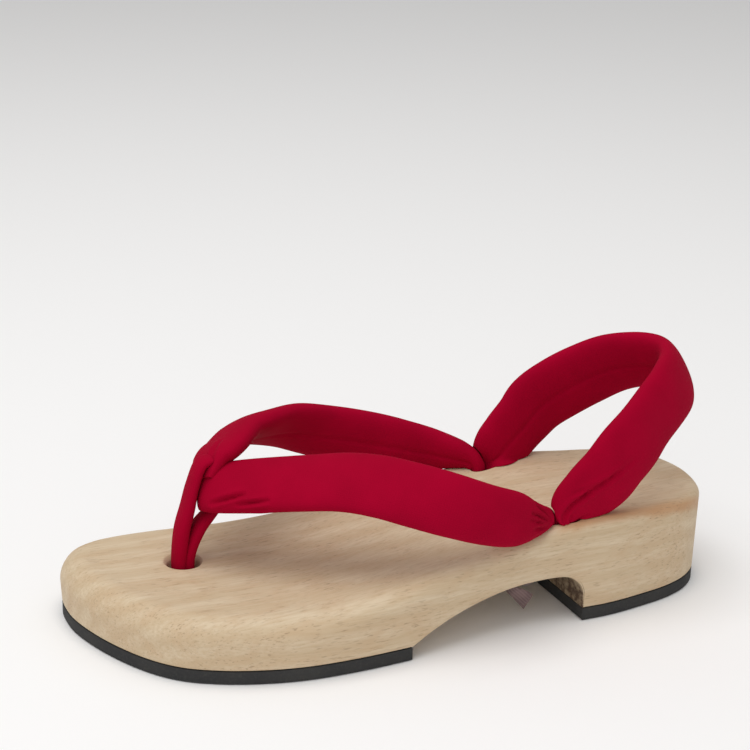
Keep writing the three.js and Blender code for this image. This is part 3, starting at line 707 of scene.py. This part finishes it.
def pressed(skin, gap=0.35):
    """A strap's skin kept out of the sole. The sole's edge is a quarter round between its wall and
    its top: a point inside it, grown by the gap, moves straight out of the round, off the wall or
    up from the top. Below the top, points in a rear slot stay where they are, and those in the
    wood beside it are drawn into it."""
    points, far, round_it, girth = skin
    flat = points.reshape(-1, 3).copy()
    line, out = edge_line[:-1:4], edge_out[:-1:4]
    near = np.argmin(((flat[:, None, :2] - line[None]) ** 2).sum(-1), axis=1)
    outward = ((flat[:, :2] - line[near]) * out[near]).sum(1)
    top, radius, dish = footbed_at(flat)
    wide = np.interp(flat[:, 1], middle_y, half_wide) - radius
    share = np.clip(np.abs(flat[:, 0] - np.interp(flat[:, 1], middle_y, middle_x)) / wide, 0.0, 1.0)
    bed = top - dish * (1 - share**2) ** 1.5
    side = np.sign(flat[:, :1])
    high, low = (np.array(p) * np.hstack([side, np.ones((len(flat), 2))]) for p in REAR_SLOT)
    axis = unit(high - low)
    square = unit(np.cross(axis, np.cross([1.0, 0.0, 0.0], axis)))
    offset = flat - low
    offset -= axis * (offset * axis).sum(1, keepdims=True)
    over_wide = (offset * square).sum(1) / (SLOT_WIDE / 2)
    over_long = (offset * np.cross(axis, square)).sum(1) / (SLOT_LONG / 2)
    spread = np.hypot(over_wide, over_long)  # 1 on the slot's wall
    beside = (spread > DRAWN_TO) & (spread < DRAWN_FROM) & (flat[:, 2] < bed - 0.6)
    flat += np.where(beside, DRAWN_TO / np.maximum(spread, DRAWN_TO) - 1.0, 0.0)[:, None] * offset
    in_slot = (spread < 1.0) | beside
    x = radius + outward  # out from the centre of the quarter round
    z = flat[:, 2] - (top - radius)
    reach = radius + gap
    length = np.maximum(np.hypot(x, z), 1e-6)
    rounded = (x > 0) & (z > 0) & (length < reach) & ~in_slot
    grown = np.where(rounded, reach / length, 1.0)
    walled = (z <= 0) & (outward < gap) & (outward > -6.0) & (flat[:, 2] > 0) & ~in_slot
    move = np.where(rounded, x * (grown - 1), np.where(walled, gap - outward, 0.0))
    flat[:, :2] += move[:, None] * out[near]
    bedded = (x <= 0) & (flat[:, 2] < bed + gap) & (flat[:, 2] > bed - 14.0) & ~in_slot
    lifted = np.where(rounded, z * (grown - 1), np.where(bedded, bed + gap - flat[:, 2], 0.0))
    flat[:, 2] += lifted
    return flat.reshape(points.shape), far, round_it, girth


ARM_FOLDS = {
    "outer": [
        (8.0, -7.2, 18.5, -5.8, 0.8, 1.4), (16.5, -9.3, 29.0, -9.2, 0.7, 1.2),
        (22.0, -12.4, 30.0, -12.8, 0.7, 0.6),
        (127.5, 6.0, 139.0, -0.2, 0.6, 1.1), (124.5, 3.4, 138.5, -1.0, 0.6, 1.2),
        (124.0, 1.0, 137.5, -1.8, 0.6, 0.8),
        (127.0, -2.4, 137.0, -2.6, 0.7, 0.9), (130.5, 7.2, 139.5, 0.8, 0.5, 0.8),
    ],
    "inner": [
        (7.0, -6.5, 13.0, -3.0, 0.9, 0.7), (10.0, 9.0, 24.0, 6.0, 1.0, 0.7),
        (125.0, 5.0, 133.0, -0.6, 0.6, 0.8), (123.0, -3.0, 132.0, -1.2, 0.6, 0.7),
        (124.0, 1.0, 132.0, 0.0, 0.6, 0.5),
    ],
}
arms = {"outer": OUTER_ARM, "inner": INNER_ARM}
arm_pieces = [
    strap_piece("arm_" + side, pressed(folded(strap_skin(rows, 300, 96), ARM_FOLDS[side])))
    for side, rows in arms.items()
]
front_strap = arm_pieces[0]
front_strap.name = "front_strap"
join_or_cut(front_strap, arm_pieces[1], "UNION", 50.0)

# Cotton cloth, plain woven from fine thread, dyed crimson, with a soft short nap: dull, even, a
# little brighter where it is seen edge on. Its 0.3 mm threads are drawn 0.8 mm apart to show.
crimson_cotton, tree, surface = new_material(
    "crimson_cotton",
    {"IOR": 1.45, "Roughness": 0.86, "Specular IOR Level": 0.06, "Sheen Weight": 0.02,
     "Sheen Roughness": 0.4, "Sheen Tint": linear("#c8305a")},
)
THREAD = 0.8
map_place = add(tree, "UVMap", {"uv_map": "UVMap"}).outputs["UV"]
warp = add(
    tree, "TexWave", {"wave_type": "BANDS", "bands_direction": "X"},
    {"Vector": map_place, "Scale": wave_scale(THREAD), "Distortion": 0.4},
)
weft = add(
    tree, "TexWave", {"wave_type": "BANDS", "bands_direction": "Y"},
    {"Vector": map_place, "Scale": wave_scale(THREAD), "Distortion": 0.4},
)
weave = add(tree, "Math", {"operation": "MULTIPLY"}, {0: warp.outputs["Fac"], 1: weft.outputs["Fac"]})
where = add(tree, "TexCoord").outputs["Object"]
slub = add(tree, "TexNoise", (), {"Vector": where, "Scale": spot_scale(14.0), "Detail": 3.0})
slub_share = add(tree, "MapRange", (), {"Value": slub.outputs["Fac"], "From Min": 0.35, "From Max": 0.7})
paint = blend(tree, slub_share.outputs["Result"], linear("#a10028"), linear("#960024"), 0.8)
paint = blend(tree, weave.outputs[0], paint, linear("#aa022c"), 0.35)
tree.links.new(paint, surface.inputs["Base Color"])
bump = add(tree, "Bump", (), {"Height": weave.outputs[0], "Strength": 0.25, "Distance": 0.0001})
tree.links.new(bump.outputs["Normal"], surface.inputs["Normal"])
front_strap.data.materials.clear()
front_strap.data.materials.append(crimson_cotton)
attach(front_strap, "root")
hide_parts("strap_front")

# ---- Toe loop ------------------------------------------------------------------------------------
# A narrow padded band of the same cloth, folded over the place where the two arms meet. Its two
# legs go down between the first toes and through the sole.

LOOP_FRONT = [
    (-22.4, 54.4, 60.0, 7.4, 3.2, 0.0, 0.1, 1.0), (-22.4, 49.2, 58.6, 8.2, 3.6, 0.0, -0.7, 0.7),
    (-22.3, 45.8, 50.5, 9.0, 3.8, 0.0, -1.0, 0.3), (-22.0, 43.8, 42.5, 9.4, 4.6, 0.0, -1.0, 0.25),
    (-22.0, 41.6, 34.0, 9.4, 5.2, 0.0, -1.0, 0.15), (-22.0, 40.4, 24.0, 9.2, 5.2, 0.0, -1.0, 0.0),
    (-22.0, 40.4, 14.2, 8.4, 5.0, 0.0, -1.0, 0.0),
]
LOOP_BACK = [
    (-22.4, 52.0, 60.0, 7.4, 3.2, 0.0, -0.1, 1.0), (-23.4, 57.4, 55.8, 6.0, 3.0, 0.0, 0.8, 0.6),
    (-23.4, 58.4, 50.0, 5.0, 3.4, 0.0, 1.0, 0.0), (-22.2, 55.0, 42.5, 6.4, 4.0, 0.0, 1.0, -0.5),
    (-22.0, 47.6, 34.0, 9.0, 5.0, 0.0, 1.0, -0.4), (-22.0, 43.6, 24.0, 9.2, 5.0, 0.0, 1.0, 0.0),
    (-22.0, 43.6, 14.2, 8.4, 5.0, 0.0, 1.0, 0.0),
]
toe_loop = strap_piece("toe_band", folded(strap_skin(LOOP_FRONT, 90, 48), [], seam=0.0))
join_or_cut(
    toe_loop,
    strap_piece("back_leg", folded(strap_skin(LOOP_BACK, 90, 48), [], seam=0.0)),
    "UNION",
    50.0,
)
for rows in (OUTER_ARM, INNER_ARM):
    join_or_cut(toe_loop, strap_piece("arm", strap_skin(rows, 160, 48, grow=0.4)), "DIFFERENCE", 50.0)
toe_loop.data.materials.clear()
toe_loop.data.materials.append(crimson_cotton)
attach(toe_loop, "root")
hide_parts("toe_loop")

# ---- Heel strap ----------------------------------------------------------------------------------
# A third padded arm of the same cloth. It comes up out of both rear slots behind the front strap's
# ends and goes round the back of the ankle, with one long fold and a few short ones on each side.

HEEL_HALF = [
    (23.1, 164.6, 21.0, 6.4, 5.8, 0.0, 1.0, -0.3), (27.5, 170.7, 35.0, 6.6, 5.8, 0.3, 1.0, 0.1),
    (29.9, 173.4, 42.4, 21.6, 8.4, 0.97, 0.0, -0.2), (30.8, 179.0, 48.6, 25.0, 8.8, 0.98, 0.05, 0.0),
    (31.8, 185.8, 54.8, 26.6, 9.0, 0.98, 0.12, 0.1), (31.4, 191.8, 61.2, 27.8, 9.0, 0.95, 0.25, 0.15),
    (29.2, 199.6, 66.8, 28.0, 9.0, 0.9, 0.4, 0.2), (25.0, 208.0, 72.6, 27.2, 9.0, 0.8, 0.6, 0.28),
    (19.6, 217.8, 78.0, 26.4, 9.0, 0.68, 0.7, 0.36), (11.2, 226.6, 81.2, 25.6, 9.0, 0.4, 0.8, 0.44),
]
HEEL_BACK = [(0.0, 230.4, 82.6, 25.2, 9.0, 0.0, 0.87, 0.49)]
heel_far_half = [(-r[0], *r[1:5], -r[5], *r[6:]) for r in reversed(HEEL_HALF)]
heel_table = HEEL_HALF + HEEL_BACK + heel_far_half
HEEL_FOLDS = [
    (22.0, 6.2, 33.0, 3.2, 0.95, 1.4), (31.0, 3.7, 45.0, 0.6, 0.95, 1.3), (43.0, 1.0, 52.0, -1.6, 0.9, 0.5),
    (29.0, 7.6, 37.0, 3.6, 0.7, 0.5), (21.0, 0.0, 27.0, -3.5, 0.7, 0.7), (21.0, 3.4, 27.0, 2.4, 0.6, 0.5),
]
heel_skin = strap_skin(heel_table, 460, 112)
heel_long = heel_skin[1][-1]
far_folds = [(heel_long - a0, c0, heel_long - a1, c1, w, d * 0.85) for a0, c0, a1, c1, w, d in HEEL_FOLDS]
heel_strap = strap_piece("heel_strap", pressed(folded(heel_skin, HEEL_FOLDS + far_folds)))
for rows in (OUTER_ARM, INNER_ARM):
    join_or_cut(heel_strap, strap_piece("arm", strap_skin(rows, 160, 48, grow=0.6)), "DIFFERENCE", 50.0)
heel_strap.data.materials.clear()
heel_strap.data.materials.append(crimson_cotton)
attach(heel_strap, "root")
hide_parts("strap_heel")

# ---- Knots ---------------------------------------------------------------------------------------
# Under the sole each strap end is tied off with a flat cotton tape, so that it can't slip back up
# through its hole. The rear knots leave a short tape end that hangs in the arch.


def tied_tape(name, centre, size, wide, thick, turn):
    """A tape tied in an overhand knot and pulled tight: a clover path that winds twice round the
    middle and three times over and under, squeezed into size, with the tape's face turned out
    from the knot's middle. Its crossings are then melted into one skin."""
    around = 2 * math.pi * np.arange(240) / 240
    reach = 2 + np.cos(3 * around)
    path = np.stack([reach * np.cos(2 * around), reach * np.sin(2 * around), np.sin(3 * around)], axis=1)
    room = np.array(size) / 2 - thick / 2
    path = path / [3.0, 3.0, 1.0] * room
    face = unit(path / room**2 + [0.0, 0.0, 1e-3])
    along = unit(np.roll(path, -1, axis=0) - np.roll(path, 1, axis=0))
    face = unit(face - along * (face * along).sum(1, keepdims=True))
    broad = np.cross(along, face)
    angle = 2 * math.pi * np.arange(16) / 16
    skin = (
        path[:, None]
        + (wide / 2 * np.cos(angle))[None, :, None] * broad[:, None]
        + (thick / 2 * np.sin(angle))[None, :, None] * face[:, None]
    )
    cos, sin = math.cos(turn), math.sin(turn)
    skin = skin @ np.array([[cos, sin, 0], [-sin, cos, 0], [0, 0, 1]])
    low = -size[2] / 2
    skin[..., 2] = np.clip(skin[..., 2], low, -low)
    skin = np.concatenate([skin, skin[:1]])
    piece = closed_piece(name, skin + np.array(centre), grid_faces(len(skin), 16, wrap=True))
    melt = piece.modifiers.new("melt", "REMESH")
    melt.mode = "VOXEL"
    melt.voxel_size = 0.00035
    ease = piece.modifiers.new("ease", "SMOOTH")
    ease.iterations = 3
    apply_all(piece)
    piece.data.shade_smooth()
    return piece


TAPE_END = [
    (22.0, 154.0, 16.0, 6.0, 1.6, 0.3, -0.2, -1.0), (25.0, 149.6, 15.4, 5.0, 1.4, 0.6, -0.6, -0.6),
    (27.6, 150.6, 13.8, 4.6, 1.2, 0.8, -0.5, -0.4), (28.0, 154.0, 11.4, 5.6, 1.1, 0.9, -0.3, -0.3),
    (28.0, 158.0, 7.6, 7.2, 1.0, 0.9, -0.3, -0.3),
]

# Cotton twill tape, 6 mm wide, undyed: soft, without gloss. Its colour is darkened by painted shade, as
# the tape lies in shadow under the sole, in uneven patches. Its ribs of 0.5 mm run slanting across it
# and are drawn 0.9 mm apart.
cotton_tape, tree, surface = new_material(
    "cotton_twill_tape",
    {"IOR": 1.45, "Roughness": 0.9, "Specular IOR Level": 0.2, "Sheen Weight": 0.1, "Sheen Roughness": 0.5},
)
where = add(tree, "TexCoord").outputs["Object"]
ribs = add(
    tree, "TexWave", {"wave_type": "BANDS", "bands_direction": "DIAGONAL"},
    {"Vector": where, "Scale": wave_scale(0.9), "Distortion": 0.8, "Detail": 2.0},
)
tape_shade_patches = add(tree, "TexNoise", (), {"Vector": where, "Scale": spot_scale(4.0), "Detail": 3.0})
tape_shade_share = add(tree, "MapRange", (), {"Value": tape_shade_patches.outputs["Fac"], "From Min": 0.35, "From Max": 0.7})
# Both colours are painted shade, darker than the tape's own colour; the noise spreads them in patches.
paint = blend(tree, tape_shade_share.outputs["Result"], linear("#7a6463"), linear("#5c4a49"), 0.8)
paint = blend(tree, ribs.outputs["Fac"], paint, linear("#9a8584"), 0.35)
tree.links.new(paint, surface.inputs["Base Color"])
bump = add(tree, "Bump", (), {"Height": ribs.outputs["Fac"], "Strength": 0.4, "Distance": 0.00015})
tree.links.new(bump.outputs["Normal"], surface.inputs["Normal"])

KNOTS = [  # name, node, centre, size, turn, side of the sole that its tape end hangs on
    ("tape_knot_front", "knot_front", (-22.0, 42.0, 9.6), (17.0, 12.6, 6.4), 0.3, 0),
    ("tape_knot_outer", "knot_outer", (22.0, 157.4, 15.9), (12.4, 9.2, 6.0), 0.6, 1),
    ("tape_knot_inner", "knot_inner", (-22.0, 157.4, 15.9), (12.4, 9.2, 6.0), -0.6, -1),
]
for name, node, centre, size, turn, side in KNOTS:
    piece = tied_tape(name, centre, size, 4.6, 2.2, turn)
    if side:
        rows = [(side * r[0], *r[1:5], side * r[5], *r[6:]) for r in TAPE_END]
        points, far, round_it, girth = strap_skin(rows, 70, 20)
        across = np.cos(-math.pi / 2 + 2 * math.pi * np.arange(20) / 20)
        near_end = np.clip((far - far[-1] + 5.0) / 5.0, 0.0, 1.0)
        way = unit(points[-1].mean(0) - points[-2].mean(0))
        points = points + 1.8 * near_end[:, None, None] * across[None, :, None] * way  # cut slanting
        join_or_cut(piece, strap_piece("tail", (points, far, round_it, girth)), "UNION", 50.0)
    piece.data.materials.clear()
    piece.data.materials.append(cotton_tape)
    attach(piece, "root")
    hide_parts(node)
